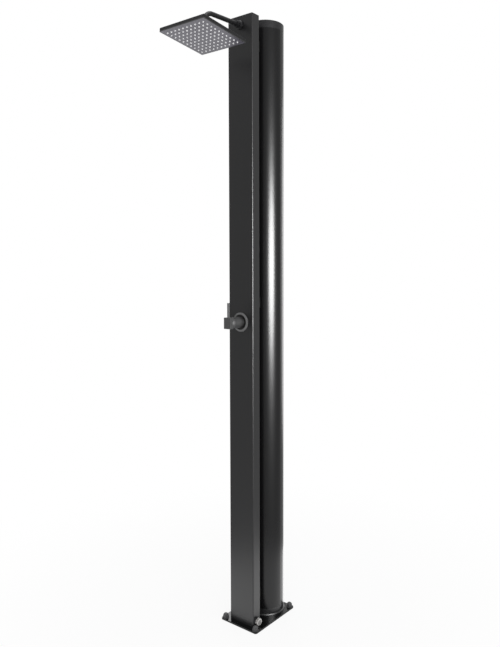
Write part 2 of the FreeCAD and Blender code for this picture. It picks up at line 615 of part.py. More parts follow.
manifold_block = block("manifold_block", "manifold_length", "manifold_depth", "manifold_height",
                       ("manifold_right - manifold_length / 2", "inlet_y",
                        "inlet_level - manifold_height / 2"))
manifold_bores = [
    rod("manifold_inlet", "inlet_tail_radius + running_gap", "hose_entry",
        ("manifold_right - hose_entry", "inlet_y", "inlet_level"), "x"),
    rod("manifold_gallery", "pipe_bore", "manifold_length - manifold_wall",
        ("manifold_left + manifold_wall", "inlet_y", "inlet_level"), "x"),
    rod("manifold_cold_port", "pipe_radius + running_gap", "hose_entry",
        ("cold_hose_offset", "inlet_y", "manifold_top - hose_entry"), "z"),
    rod("manifold_feed_port", "cross_pipe_radius + running_gap", "hose_entry",
        ("0", "inlet_y", "manifold_top - hose_entry"), "z"),
]
cut("inlet_manifold", manifold_block, manifold_bores)
revolved("check_valve", [
    ("cross_pipe_bore", "-hose_entry"), ("cross_pipe_radius", "-hose_entry"),
    ("cross_pipe_radius", "0"), ("check_valve_radius", "0"),
    ("check_valve_radius", "check_valve_length"),
    ("cross_pipe_radius + running_gap", "check_valve_length"),
    ("cross_pipe_radius + running_gap", "check_valve_length - feed_entry"),
    ("cross_pipe_bore", "check_valve_length - feed_entry")], ("0", "inlet_y", "manifold_top"))
feed_start = "manifold_top + check_valve_length - feed_entry"
bent_tube("tank_feed_pipe", "cross_pipe_radius", "cross_pipe_bore",
          "lower_bridge_level - (%s)" % feed_start, "90", "tank_front + pipe_entry - inlet_y",
          "feed_bend", ("0", "inlet_y", feed_start))
tube("tank_outlet_pipe", "cross_pipe_radius", "cross_pipe_bore",
     "tank_front + pipe_entry - (fitting_back - outlet_entry)",
     ("0", "fitting_back - outlet_entry", "upper_bridge_level"), "y")
group("tank_grommets", [tube("grommet_%d" % n, "grommet_radius", "cross_pipe_radius + running_gap",
                             "grommet_length", ("0", "tank_front - grommet_length / 2", level), "y")
                        for n, level in enumerate(("lower_bridge_level", "upper_bridge_level"))])

# ---- the hot side and the hoses ----

fitting_block = block("fitting_block", "hot_hose_offset + 2 * fitting_half", "fitting_depth",
                      "2 * fitting_half",
                      ("hot_hose_offset / 2", "hot_hose_y", "upper_bridge_level - fitting_half"))
cut("hot_elbow", fitting_block, [
    rod("fitting_inlet", "cross_pipe_radius + running_gap", "outlet_entry",
        ("0", "fitting_back - outlet_entry", "upper_bridge_level"), "y"),
    rod("fitting_gallery", "pipe_bore", "hot_hose_offset",
        ("0", "hot_hose_y", "upper_bridge_level"), "x"),
    rod("fitting_port", "pipe_radius + running_gap", "fitting_port_depth",
        ("hot_hose_offset", "hot_hose_y", "upper_bridge_level - fitting_half"), "z")])
valve_bottom = "mixer_level - valve_height / 2"
valve_top = "mixer_level + valve_height / 2"
HOSES = [
    ("cold_hose", "cold_hose_offset", "inlet_y", "manifold_top", "hose_entry", valve_bottom,
     "hose_entry"),
    ("hot_hose", "hot_hose_offset", "hot_hose_y", valve_top, "hose_entry",
     "upper_bridge_level - fitting_half", "fitting_port_depth"),
    ("riser_hose", "0", "riser_y", valve_top, "hose_entry", "elbow_bottom", "hose_entry"),
]
ferrules = []
for name, x, y, low, low_entry, high, high_entry in HOSES:
    foot = "%s - %s" % (low, low_entry)
    tube(name, "pipe_radius", "pipe_bore", "(%s + %s) - (%s)" % (high, high_entry, foot),
         (x, y, foot))
    for n, level in enumerate((low, "%s - ferrule_length" % high)):
        ferrules.append(tube("%s_ferrule_%d" % (name, n), "ferrule_radius",
                             "pipe_radius + running_gap", "ferrule_length", (x, y, level)))
group("hose_ferrules", ferrules)

# ---- mixer, laid out along -Y from the column's front ----

MIXER = ("0", "column_front", "mixer_level")
valve_block = block("valve_block", "valve_width", "valve_depth", "valve_height",
                    ("0", "valve_middle", valve_bottom))
valve_neck = rod("valve_neck", "neck_radius", "neck_reach + column_wall",
                 ("0", "column_inside_front", "mixer_level"), "-y")
cut("mixer_body", fuse("valve_casting", [valve_block, valve_neck]), [
    rod("cartridge_cavity", "cartridge_radius + running_gap", "neck_reach + cartridge_depth",
        ("0", "column_front + cartridge_depth", "mixer_level"), "-y"),
    rod("valve_cold_port", "pipe_radius + running_gap", "hose_entry",
        ("cold_hose_offset", "inlet_y", valve_bottom)),
    rod("valve_hot_port", "pipe_radius + running_gap", "hose_entry",
        ("hot_hose_offset", "hot_hose_y", "%s - hose_entry" % valve_top)),
    rod("valve_riser_port", "pipe_radius + running_gap", "hose_entry",
        ("0", "riser_y", "%s - hose_entry" % valve_top))])

dome_radius = "(pow(rosette_radius; 2) + pow(rosette_height - rosette_rim; 2))" \
              " / (2 * (rosette_height - rosette_rim))"
rosette_disc = rod("rosette_disc", "rosette_radius", "rosette_height", MIXER, "-y")
rosette_dome = ball("rosette_dome", dome_radius,
                    ("0", "column_front - rosette_height + %s" % dome_radius, "mixer_level"))
rosette_blank = doc.addObject("Part::Common", "rosette_blank")
rosette_blank.Base, rosette_blank.Tool = rosette_disc, rosette_dome
cut("mixer_rosette", rosette_blank, [
    rod("rosette_bore", "sleeve_radius + running_gap", "rosette_height", MIXER, "-y"),
    rod("rosette_well", "rosette_well_radius", "rosette_height",
        ("0", "column_front - rosette_floor", "mixer_level"), "-y")])

PIVOT = ("0", "pivot_y", "mixer_level")
sleeve_inside = "sleeve_radius - sleeve_wall"
cut("mixer_sleeve", fuse("sleeve_solid", [
    rod("sleeve_barrel", "sleeve_radius", "pivot_reach", MIXER, "-y"),
    ball("sleeve_ball", "sleeve_radius", PIVOT)]), [
        rod("sleeve_hollow", sleeve_inside, "pivot_reach", MIXER, "-y"),
        ball("sleeve_ball_hollow", sleeve_inside, PIVOT),
        rod("sleeve_opening", "ball_opening", "sleeve_radius", PIVOT, "-y")])

cartridge_cover = "neck_reach + flange_thickness"
cut("cartridge", revolved("cartridge_blank", [
    ("0", "-cartridge_depth + slip_gap"), ("cartridge_radius", "-cartridge_depth + slip_gap"),
    ("cartridge_radius", "neck_reach"), ("cartridge_flange", "neck_reach"),
    ("cartridge_flange", cartridge_cover), ("cartridge_radius", cartridge_cover),
    ("cartridge_radius", "cartridge_reach"), ("0", "cartridge_reach")], MIXER, "-y"), [
        rod("spigot_bore", "yoke_spigot_radius + running_gap", "yoke_spigot + slip_gap",
            ("0", "column_front - cartridge_reach + yoke_spigot + slip_gap", "mixer_level"), "-y")])
nut_start = "%s - cartridge_nut_length + nut_lip" % cartridge_cover
revolved("cartridge_nut", [
    ("neck_radius + running_gap", nut_start), ("cartridge_nut_radius", nut_start),
    ("cartridge_nut_radius", "%s + nut_lip" % cartridge_cover),
    ("cartridge_radius + running_gap", "%s + nut_lip" % cartridge_cover),
    ("cartridge_radius + running_gap", cartridge_cover),
    ("neck_radius + running_gap", cartridge_cover)], MIXER, "-y")

yoke_top = "cartridge_reach + joint_gap + yoke_disc"
ears = []
for n, side in enumerate((-1, 1)):
    x = "%d * (ear_gap + ear_thickness) / 2" % side
    ears.append(block("ear_%d" % n, "ear_thickness", "pivot_reach - (%s)" % yoke_top, "ear_width",
                      (x, "column_front - (%s + pivot_reach) / 2" % yoke_top,
                       "mixer_level - ear_width / 2")))
    ears.append(rod("ear_end_%d" % n, "ear_width / 2", "ear_thickness",
                    ("%s - ear_thickness / 2" % x, "pivot_y", "mixer_level"), "x"))
yoke_turned = revolved("yoke_turned", [
    ("0", "cartridge_reach - yoke_spigot"), ("yoke_spigot_radius", "cartridge_reach - yoke_spigot"),
    ("yoke_spigot_radius", "cartridge_reach + joint_gap"),
    ("yoke_radius", "cartridge_reach + joint_gap"), ("yoke_radius", yoke_top), ("0", yoke_top)],
    MIXER, "-y")
pin_length = "ear_gap + 2 * ear_thickness"
PIN = ("-(%s) / 2" % pin_length, "pivot_y", "mixer_level")
cut("stem_yoke", fuse("yoke_solid", [yoke_turned] + ears),
    [rod("yoke_pin_hole", "yoke_pin_radius + running_gap", pin_length, PIN, "x")])
rod("yoke_pin", "yoke_pin_radius", pin_length, PIN, "x")

eye = "ear_gap - 2 * joint_gap"
stem_rise = "ear_width / 2 + joint_gap"
cut("lever_stem", fuse("stem_solid", [
    rod("stem_eye", "ear_width / 2", eye, ("-(%s) / 2" % eye, "pivot_y", "mixer_level"), "x"),
    block("stem_flat", eye, "%s + joint_gap" % stem_rise, "2 * stem_radius",
          ("0", "pivot_y - (%s + joint_gap) / 2" % stem_rise, "mixer_level - stem_radius")),
    rod("stem_shaft", "stem_radius", "stem_reach - (%s)" % stem_rise,
        ("0", "pivot_y - (%s)" % stem_rise, "mixer_level"), "-y")]),
    [rod("stem_eye_hole", "yoke_pin_radius + running_gap", eye,
         ("-(%s) / 2" % eye, "pivot_y", "mixer_level"), "x")])

handle_middle = "handle_back - handle_thickness / 2"
handle_blank = bevel(slab("handle_blank", "handle_width", "handle_height", "handle_thickness",
                          "handle_corner", ("0", "handle_back", "mixer_level"), "-y"),
                     "handle_edges", "handle_bevel", level_edge)
hollowed = cut("handle_hollowed", handle_blank, [ball("handle_recess", "recess_radius", PIVOT)])
boss = rod("handle_boss_stub", "handle_boss", "recess_radius - boss_depth + joint_gap",
           ("0", "pivot_y - boss_depth", "mixer_level"), "-y")
lever_base = "mixer_level + handle_height / 2"
cut("handle_block", fuse("handle_with_boss", [hollowed, boss]), [
    rod("stem_socket", "stem_radius + running_gap", "stem_reach - boss_depth + running_gap",
        ("0", "pivot_y - boss_depth", "mixer_level"), "-y"),
    rod("lever_thread_hole", "lever_thread_radius + running_gap", "lever_thread",
        ("0", handle_middle, "%s - lever_thread" % lever_base)),
    rod("grub_hole", "grub_radius + running_gap", "handle_height / 2",
        ("0", "grub_y", "mixer_level - handle_height / 2"))])
rod("grub_screw", "grub_radius", "grub_length",
    ("0", "grub_y", "mixer_level - stem_radius - running_gap - grub_length"))
revolved("lever_pin", [
    ("0", "-lever_thread"), ("lever_thread_radius", "-lever_thread"), ("lever_thread_radius", "0"),
    ("lever_radius", "0"), ("lever_radius", "lever_height - lever_chamfer"),
    ("lever_radius - lever_chamfer", "lever_height"), ("0", "lever_height")],
    ("0", handle_middle, lever_base))

# ---- shower arm ----


def slope(piece, extra="0"):
    """Lay a piece made along its own Z onto the arm's falling line."""
    piece.Placement = Placement(Vector(), Rotation(Vector(1, 0, 0), 90))
    piece.setExpression("Placement.Rotation.Angle", sized("90 + arm_slope"))
    for axis, text in (("y", "column_front - (%s) * cos(arm_slope)" % extra),
                       ("z", "arm_level - (%s) * sin(arm_slope)" % extra)):
        piece.setExpression("Placement.Base." + axis, sized(text))
    return piece


slope(bent_tube("arm_tube", "arm_radius", "arm_radius - arm_wall", "arm_tail + arm_corner",
                "-(90 - arm_slope - head_tilt)", "arm_rise - arm_end", "arm_bend", ("0", "0", "0")),
      "-arm_tail")
ARM = ("0", "column_front", "arm_level")
flange_blank = revolved("flange_blank", [
    ("0", "0"), ("arm_flange_radius", "0"), ("arm_flange_radius", "arm_flange_rim"),
    ("arm_nut_radius", "arm_flange_thickness"), ("0", "arm_flange_thickness")], ARM, "-y")
cut("arm_flange", flange_blank, [slope(rod(
    "flange_bore", "arm_radius + running_gap", "2 * arm_tail + arm_flange_thickness"),
    "-arm_tail")])
slope(revolved("arm_nut", [
    ("arm_radius + running_gap", "0"), ("arm_nut_radius - arm_nut_chamfer", "0"),
    ("arm_nut_radius", "arm_nut_chamfer"), ("arm_nut_radius", "arm_nut_length - arm_nut_chamfer"),
    ("arm_nut_radius - arm_nut_chamfer", "arm_nut_length"),
    ("arm_radius + running_gap", "arm_nut_length")]), "arm_flange_thickness + arm_nut_gap")
elbow_block = block("elbow_block", "elbow_size", "elbow_depth",
                    "arm_level + elbow_above - elbow_bottom",
                    ("0", "column_inside_front + elbow_depth / 2", "elbow_bottom"))
cut("arm_elbow", elbow_block, [
    slope(rod("elbow_socket", "arm_radius + running_gap", "arm_tail"), "-arm_tail"),
    rod("elbow_port", "pipe_radius + running_gap", "hose_entry", ("0", "riser_y", "elbow_bottom")),
    rod("elbow_rise", "pipe_bore", "elbow_below + pipe_bore", ("0", "riser_y", "elbow_bottom"))])

# ---- swivel and shower head, laid out about the ball's centre with +Z up the neck ----


def sphere_zone(name, outer, inner, top, bottom):
    """A ball shell open above one height and below another."""
    shell = cut(name + "_shell", ball(name + "_outer", outer), [ball(name + "_inner", inner)])
    band = primitive("Cylinder", name + "_band", {"Radius": "2 * (%s)" % outer,
                                                  "Height": "%s - (%s)" % (top, bottom)},
                     ("0", "0", bottom))
    zone = doc.addObject("Part::Common", name)
    zone.Base, zone.Tool = shell, band
    return tilt(zone)


socket_depth = "swivel_nut_gap + swivel_nut_length"
tilt(cut("ball_fitting", fuse("fitting_solid", [
    ball("swivel_ball", "ball_radius"), rod("swivel_neck", "ball_neck_radius", "swivel_nut_gap"),
    revolved("swivel_nut", [
        ("0", "0"), ("swivel_nut_radius - arm_nut_chamfer", "0"),
        ("swivel_nut_radius", "arm_nut_chamfer"),
        ("swivel_nut_radius", "swivel_nut_length - arm_nut_chamfer"),
        ("swivel_nut_radius - arm_nut_chamfer", "swivel_nut_length"), ("0", "swivel_nut_length")],
        ("0", "0", "swivel_nut_gap"))]), [
            rod("swivel_bore", "ball_bore", "ball_radius + swivel_nut_gap + swivel_nut_length",
                ("0", "0", "-ball_radius")),
            rod("swivel_socket", "arm_radius + running_gap", "%s - arm_end" % socket_depth,
                ("0", "0", "arm_end"))]))
sphere_zone("ball_seal", "seal_radius", "seal_inner", "seal_top", "-seal_top")
sphere_zone("ball_seat", "seat_radius", "seat_inner", "seat_top", "-seat_bottom")
collar_blank = revolved("collar_blank", [
    ("0", "shell_top + joint_gap"), ("collar_radius", "shell_top + joint_gap"),
    ("collar_radius", "0"), ("collar_top_radius", "collar_top"), ("0", "collar_top")])
tilt(cut("collar_nut", collar_blank, [
    ball("collar_sphere", "socket_ball"),
    rod("collar_thread", "socket_radius + running_gap", "-shell_top - socket_drop",
        ("0", "0", "shell_top"))]))

shell_height = "head_thickness - face_thickness - gasket_height"
top_level = value(shell_height) - EDGE_MARGIN


def top_edge(edge):
    return min(vertex.Point.z for vertex in edge.Vertexes) > top_level


head_blank = bevel(slab("head_blank", "head_side", "head_side", shell_height, "face_corner",
                        ("0", "0", "shell_top - (%s)" % shell_height)),
                   "head_edges", "head_chamfer", top_edge)
socket_stub = rod("socket_stub", "socket_radius", "-shell_top - socket_drop + shell_wall",
                  ("0", "0", "shell_top - shell_wall"))
chamber = slab("chamber", "head_side - 2 * rim_width", "head_side - 2 * rim_width",
               "%s - shell_wall" % shell_height, "face_corner",
               ("0", "0", "shell_top - (%s)" % shell_height))
tilt(cut("head_shell", fuse("head_with_socket", [
    cut("head_hollow", head_blank, [chamber]), socket_stub]), [
        ball("socket_sphere", "socket_ball"),
        rod("socket_drain", "socket_drain_radius", "-shell_top + shell_wall",
            ("0", "0", "shell_top - shell_wall"))]))
tilt(shell_frame("head_gasket", "head_side - 2 * gasket_inset", "head_side - 2 * gasket_inset",
                 "gasket_height", "face_corner", "rim_width - gasket_inset",
                 ("0", "0", "face_top")))


def grid(body, feature, name):
    """Copy one feature over the square nozzle field."""
    steps = []
    for role, suffix in (("X_Axis", "across"), ("Y_Axis", "along")):
        row = body.newObject("PartDesign::LinearPattern", "%s_%s" % (name, suffix))
        row.Direction = (plane_of(body, role), [""])
        row.Occurrences = int(value("nozzle_count"))
        row.setExpression("Length", sized("(nozzle_count - 1) * nozzle_pitch"))
        steps.append(row)
    field = body.newObject("PartDesign::MultiTransform", name)
    field.Originals = [feature]
    field.Transformations = steps
    body.Tip = field
    return field


def nozzle_circle(body, name, radius, plane="XY_Plane"):
    """One circle at the first corner of the nozzle field."""
    sketch = new_sketch(body, name, plane)
    corner = "-(nozzle_count - 1) * nozzle_pitch / 2"
    sketch.addGeometry(Part.Circle(Vector(value(corner), value(corner), 0), Vector(0, 0, 1),
                                   value(radius)), False)
    for rule, text in ((("DistanceX", -1, 1, 0, 3, value(corner)), corner),
                       (("DistanceY", -1, 1, 0, 3, value(corner)), corner),
                       (("Radius", 0, value(radius)), radius)):
        index = sketch.addConstraint(Sketcher.Constraint(*rule))
        sketch.setExpression("Constraints[%d]" % index, sized(text))
    return sketch


def padded_nozzles(body, name, radius, length, reverse, drop="0"):
    """Pad one nozzle circle that lies a drop below the body's own XY plane."""
    sketch = nozzle_circle(body, name + "_circle", radius)
    sketch.setExpression("AttachmentOffset.Base.z", sized("-(%s)" % drop))
    pad = body.newObject("PartDesign::Pad", name)
    pad.Profile = sketch
    pad.Reversed = reverse
    pad.setExpression("Length", sized(length))
    doc.recompute()
    return pad


def bored_nozzles(body, name, radius, length, drop):
    """Pocket one nozzle circle upwards from a drop below the body's own XY plane."""
    sketch = nozzle_circle(body, name + "_circle", radius)
    sketch.setExpression("AttachmentOffset.Base.z", sized("-(%s)" % drop))
    pocket = body.newObject("PartDesign::Pocket", name)
    pocket.Profile = sketch
    pocket.Reversed = True
    pocket.setExpression("Length", sized(length))
    doc.recompute()
    return pocket


face_plate = slab("face_plate", "head_side", "head_side", "face_thickness", "face_corner")
doc.recompute()
solid_volume = face_plate.Shape.Volume
face_holes = bored_nozzles(face_plate, "face_hole", "nozzle_radius + nozzle_fit",
                           "face_thickness", "0")
grid(face_plate, face_holes, "face_hole_field")
tilt(face_plate, "-head_drop")

mat_side = "(nozzle_count - 1) * nozzle_pitch + 2 * mat_margin"
nozzle_mat = slab("nozzle_mat", mat_side, mat_side, "mat_thickness", "face_corner")
stem_pad = padded_nozzles(nozzle_mat, "nozzle_stem", "nozzle_radius", "face_thickness", True)
tip_pad = padded_nozzles(nozzle_mat, "nozzle_tip", "nozzle_radius", "nozzle_length", True,
                         "face_thickness")
tip_pad.setExpression("TaperAngle", sized(
    "-atan((nozzle_radius - nozzle_tip_radius) / nozzle_length)"))
doc.recompute()
jet = bored_nozzles(nozzle_mat, "nozzle_jet", "nozzle_bore",
                    "mat_thickness + face_thickness + nozzle_length",
                    "face_thickness + nozzle_length")
field = grid(nozzle_mat, stem_pad, "nozzle_field")
field.Originals = [stem_pad, tip_pad, jet]
tilt(nozzle_mat, "face_top")

# ---- check and write every piece ----

NODES = [
    "base_plate", "anchor_washers", "anchor_cap_nuts", "column_profile", "column_cap",
    "column_screws", "tank_tube", "tank_top_cap", "tank_bottom_cap", "tank_seals",
    "lower_bridge", "middle_bridge", "upper_bridge", "bridge_bolts", "inlet_nipple",
    "inlet_seal", "inlet_flange", "inlet_locknut", "inlet_strainer", "inlet_manifold",
    "check_valve", "tank_feed_pipe", "tank_outlet_pipe", "tank_grommets", "hot_elbow",
    "cold_hose", "hot_hose", "riser_hose", "hose_ferrules", "mixer_body", "mixer_rosette",
    "mixer_sleeve", "cartridge", "cartridge_nut", "stem_yoke", "yoke_pin", "lever_stem",
    "handle_block", "grub_screw", "lever_pin", "arm_tube", "arm_flange", "arm_nut",
    "arm_elbow", "ball_fitting", "ball_seal", "ball_seat", "collar_nut", "head_shell",
    "head_gasket", "face_plate", "nozzle_mat",
]

doc.removeObject(probe.Name)
doc.recompute()
for item in doc.Objects:
    if "Invalid" in item.State or "Error" in item.State:
        raise RuntimeError("%s did not build: %s" % (item.Label, item.State))
os.makedirs("parts", exist_ok=True)
for name in NODES:
    piece = doc.getObject(name)
    if piece is None or piece.Label != name:
        raise RuntimeError("%s is missing" % name)
    if piece.Shape.isNull() or not piece.Shape.isValid():
        raise RuntimeError("%s has no sound shape" % name)
for name in NODES:
    shape = doc.getObject(name).Shape
    shape.exportStep("parts/%s.step" % name)
    print("%-18s %2d solids %12.1f mm3" % (name, len(shape.Solids), shape.Volume))
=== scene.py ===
import math

import bpy
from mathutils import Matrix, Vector


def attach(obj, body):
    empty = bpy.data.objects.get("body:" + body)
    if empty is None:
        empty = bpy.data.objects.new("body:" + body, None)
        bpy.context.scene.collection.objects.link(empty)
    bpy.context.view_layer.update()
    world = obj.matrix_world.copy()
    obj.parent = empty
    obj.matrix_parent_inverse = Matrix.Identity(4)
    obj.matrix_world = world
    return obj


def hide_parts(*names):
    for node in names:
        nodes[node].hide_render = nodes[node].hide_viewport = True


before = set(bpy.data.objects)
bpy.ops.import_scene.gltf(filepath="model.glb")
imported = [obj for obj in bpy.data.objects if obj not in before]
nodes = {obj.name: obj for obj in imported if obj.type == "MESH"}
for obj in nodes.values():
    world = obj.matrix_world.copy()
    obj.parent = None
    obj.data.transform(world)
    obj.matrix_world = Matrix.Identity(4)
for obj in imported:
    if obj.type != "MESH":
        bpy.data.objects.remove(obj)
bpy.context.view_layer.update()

print("frame loaded,", len(nodes), "nodes")

# the camera stands to the front right, a little above the middle of the post
camera = dict(at=(1.5091, -1.8368, 1.3262), heading=-37.51, pitch=-3.2, lens=35.63, sensor=36,
              shift=(-0.0444, -0.0346), farthest=60)


def addCamera():
    data = bpy.data.cameras.new("camera")
    data.sensor_width = camera["sensor"]
    data.lens = camera["lens"]
    data.shift_x, data.shift_y = camera["shift"]
    data.clip_end = camera["farthest"]
    eye = bpy.data.objects.new("camera", data)
    bpy.context.scene.collection.objects.link(eye)
    yaw, pitch = math.radians(camera["heading"]), math.radians(camera["pitch"])
    look = Vector((math.sin(yaw) * math.cos(pitch), math.cos(yaw) * math.cos(pitch),
                   math.sin(pitch)))
    eye.location = camera["at"]
    eye.rotation_euler = look.to_track_quat("-Z", "Y").to_euler()
    bpy.context.scene.camera = eye


# three soft lamps light the post; the panels only show in the gloss of the nodes named with them
column = "column_profile column_cap"
tank = "tank_tube tank_top_cap tank_bottom_cap"
mixer = "mixer_rosette mixer_sleeve handle_block lever_pin"
lamps = dict(
    overhead=dict(at=(0.6, -0.35, 4.4), aim=(0.1, 0, 0.6), size=(2.6, 2.6), power=80),
    rear=dict(at=(-2.4, 2.2, 2.6), aim=(0, 0, 1.2), size=(1.2, 2.2), power=25),
    low=dict(at=(1.9, -2.3, 0.5), aim=(0, -0.3, 1.9), size=(1.2, 1.2), power=45, matt=True),
    sidePanel=dict(at=(2.51, -0.64, 1.32), aim=(0, 0.05, 1.3), size=(1.7, 1.2), power=520,
                   shows=column + " " + tank + " " + mixer),
    rimPanel=dict(at=(0.2, 2.6, 1.3), aim=(0, 0.05, 1.3), size=(1.4, 2.6), power=30,
                  shows=tank),
    footGlint=dict(at=(1.25, 0.4, 4.4), aim=(0.05, 0, 0), size=(1.2, 1.2), power=240,
                   shows="tank_bottom_cap"),
    floorGlow=dict(at=(0, 0, 0.003), aim=(0, 0, 1), size=(1.2, 1.2), power=7,
                   shows=column + " " + tank),
)


def addLamps():
    for name, lamp in lamps.items():
        data = bpy.data.lights.new(name, "AREA")
        data.shape = "ELLIPSE" if "shows" in lamp else "RECTANGLE"
        data.size, data.size_y = lamp["size"]
        data.energy = lamp["power"]
        item = bpy.data.objects.new(name, data)
        bpy.context.scene.collection.objects.link(item)
        item.location = lamp["at"]
        way = Vector(lamp["aim"]) - Vector(lamp["at"])
        item.rotation_euler = way.to_track_quat("-Z", "Y").to_euler()
        item.visible_camera = False
        item.visible_glossy = "matt" not in lamp
        if "shows" in lamp:
            item.visible_diffuse = False
            shown = bpy.data.collections.new(name + "Shows")
            for node in lamp["shows"].split():
                shown.objects.link(nodes[node])
            item.light_linking.receiver_collection = shown


class Value:  # a socket in a graph, so that sums and products can be written as such
    def __init__(self, graph, socket):
        self.graph = graph
        self.socket = socket

    def join(self, operation, first, second):
        return self.graph.node("Math", dict(operation=operation), [first, second])

    def __add__(self, other): return self.join("ADD", self, other)
    def __radd__(self, other): return self.join("ADD", other, self)
    def __sub__(self, other): return self.join("SUBTRACT", self, other)
    def __rsub__(self, other): return self.join("SUBTRACT", other, self)
    def __mul__(self, other): return self.join("MULTIPLY", self, other)
    def __rmul__(self, other): return self.join("MULTIPLY", other, self)


class Graph:  # the nodes of a material or of the world
    def __init__(self, tree):
        self.tree = tree

    def node(self, kind, settings, values, output=0):
        made = self.tree.nodes.new("ShaderNode" + kind)
        for key, setting in settings.items():
            if key == "stops":
                for stop, (spot, shade) in zip(made.color_ramp.elements, setting):
                    stop.position, stop.color = spot, (shade, shade, shade, 1)
            else:
                setattr(made, key, setting)
        pairs = values.items() if isinstance(values, dict) else enumerate(values)
        for key, value in pairs:
            value = value.socket if isinstance(value, Value) else value
            if isinstance(value, bpy.types.NodeSocket):
                self.tree.links.new(value, made.inputs[key])
            else:
                made.inputs[key].default_value = value
        return Value(self, made.outputs[output])

    def seen(self):  # 1 for what the camera sees, also in gloss or through glass, else 0
        rays = [self.node("LightPath", {}, {}, "Is %s Ray" % kind)
                for kind in ("Camera", "Glossy", "Transmission")]
        return self.node("Math", dict(operation="MINIMUM"), [rays[0] + rays[1] + rays[2], 1.0])


class Finish(Graph):  # one material
    def __init__(self, name):
        self.material = bpy.data.materials.new(name)
        self.material.use_nodes = True
        super().__init__(self.material.node_tree)
        self.shader = self.tree.nodes["Principled BSDF"]
        self.place = self.node("TexCoord", {}, {}, "Object")

    def set(self, **sockets):
        for key, value in sockets.items():
            socket = self.shader.inputs[key.replace("_", " ").title().replace("Ior", "IOR")]
            if isinstance(value, Value):
                self.tree.links.new(value.socket, socket)
            else:
                socket.default_value = value

    def noise(self, scale, detail, stretch=(1, 1, 1)):
        spread = self.node("Mapping", {}, {"Vector": self.place, "Scale": stretch})
        return self.node("TexNoise", {}, {"Vector": spread, "Scale": scale, "Detail": detail})

    def grain(self, scale):
        return self.node("TexVoronoi", {}, {"Vector": self.place, "Scale": scale})

    def contrast(self, value, low, high):
        return self.node("ValToRGB", dict(stops=[(low, 0), (high, 1)]), [value])

    def shade(self, first, second, amount):
        ends = [c if isinstance(c, Value) else (*c, 1) for c in (first, second)]
        sockets = {"Factor": amount, 6: ends[0], 7: ends[1]}
        return self.node("Mix", dict(data_type="RGBA"), sockets, output=2)

    def relief(self, height, look):
        sockets = {"Height": height, "Distance": look["depth"], "Strength": look["strength"]}
        return self.node("Bump", {}, sockets)


smudges = dict(stretch=(1, 1, 0.3), finer=1.7, speckEnds=(0.62, 0.7), speckShare=0.25)


def powderCoat(name, look):  # fine orange peel over a satin film, with broad soft smudges
    finish = Finish(name)
    broad = finish.noise(look["broad"], 2.0, smudges["stretch"])
    peel = finish.noise(look["peel"], 2.0)
    specks = finish.noise(look["peel"] * smudges["finer"], 1.0)
    specks = finish.contrast(specks, *smudges["speckEnds"])
    mixed = broad * (1 - smudges["speckShare"]) + specks * smudges["speckShare"]
    finish.set(base_color=finish.shade(look["dark"], look["light"], mixed),
               roughness=look["rough"] + look["vary"] * broad,
               normal=finish.relief(peel, look), specular_ior_level=look["specular"])
    return finish.material


def paintedShadeCoat(name, look):  # a satin coat with painted shade: its colour turns deep black inside a socket or near a root, where shade falls
    finish = Finish(name)
    broad = finish.noise(look["broad"], 2.0)
    peel = finish.noise(look["peel"], 2.0)
    offset = finish.node("VectorMath", dict(operation="SUBTRACT"), [finish.place, look["centre"]])
    flat = finish.node("VectorMath", dict(operation="MULTIPLY"), [offset, look["along"]])
    reach = finish.node("VectorMath", dict(operation="LENGTH"), [flat], output=1)
    # painted shade mask: 0 within the near reach of the centre point, 1 beyond the far reach
    shadeMask = finish.node("MapRange", dict(interpolation_type="SMOOTHSTEP"),
                       {"Value": reach, "From Min": look["near"], "From Max": look["far"]})
    coat = finish.shade(look["dark"], look["light"], broad)
    finish.set(base_color=finish.shade(look["shadeColour"], coat, shadeMask),
               roughness=look["rough"] + look["vary"] * broad,
               normal=finish.relief(peel, look), specular_ior_level=look["specular"])
    return finish.material


def faceMoulding(name, look):  # spark-eroded face with a black rim round its four sides
    finish = Finish(name)
    grain = finish.grain(look["grain"])
    cloud = finish.noise(look["cloud"], 3.0)
    parts = finish.node("SeparateXYZ", {}, [finish.place])
    across = finish.node("Math", dict(operation="ABSOLUTE"), [parts])
    along = finish.node("VectorMath", dict(operation="DOT_PRODUCT"), [finish.place, look["way"]],
                        output=1)
    along = finish.node("Math", dict(operation="ABSOLUTE"), [along - look["middle"]])
    edge = finish.node("Math", dict(operation="MAXIMUM"), [across, along])
    rim = finish.node("Math", dict(operation="GREATER_THAN"), [edge, look["rim"]])
    face = finish.shade(look["dark"], look["light"], cloud)
    finish.set(base_color=finish.shade(face, look["black"], rim),
               roughness=look["rough"] + look["vary"] * cloud,
               normal=finish.relief(grain, look), specular_ior_level=look["specular"])
    return finish.material


def drawnPlastic(name, look):  # long faint lines where the tube was drawn
    finish = Finish(name)
    lines = finish.noise(look["lines"], 2.0, look["lineStretch"])
    cloud = finish.noise(look["cloud"], 2.0, look["cloudStretch"])
    finish.set(base_color=finish.shade(look["dark"], look["light"], cloud),
               roughness=look["rough"] + look["vary"] * cloud,
               normal=finish.relief(lines, look), specular_ior_level=look["specular"])
    return finish.material


def mouldedPlastic(name, look):  # spark-eroded grain
    finish = Finish(name)
    grain = finish.grain(look["grain"])
    cloud = finish.noise(look["cloud"], 3.0)
    finish.set(base_color=finish.shade(look["dark"], look["light"], cloud),
               roughness=look["rough"] + look["vary"] * cloud,
               normal=finish.relief(grain, look), specular_ior_level=look["specular"])
    return finish.material


def bareMetal(name, look):  # turned or drawn metal: fine lines along one axis, dull spots
    finish = Finish(name)
    lines = finish.noise(look["lines"], 2.0, look["stretch"])
    dull = finish.contrast(finish.noise(look["dull"], 4.0), *look["dullEnds"])
    finish.set(base_color=finish.shade(look["light"], look["dark"], dull),
               roughness=look["rough"] + look["vary"] * dull + look["lineRough"] * lines,
               normal=finish.relief(lines, look), metallic=1.0)
    return finish.material


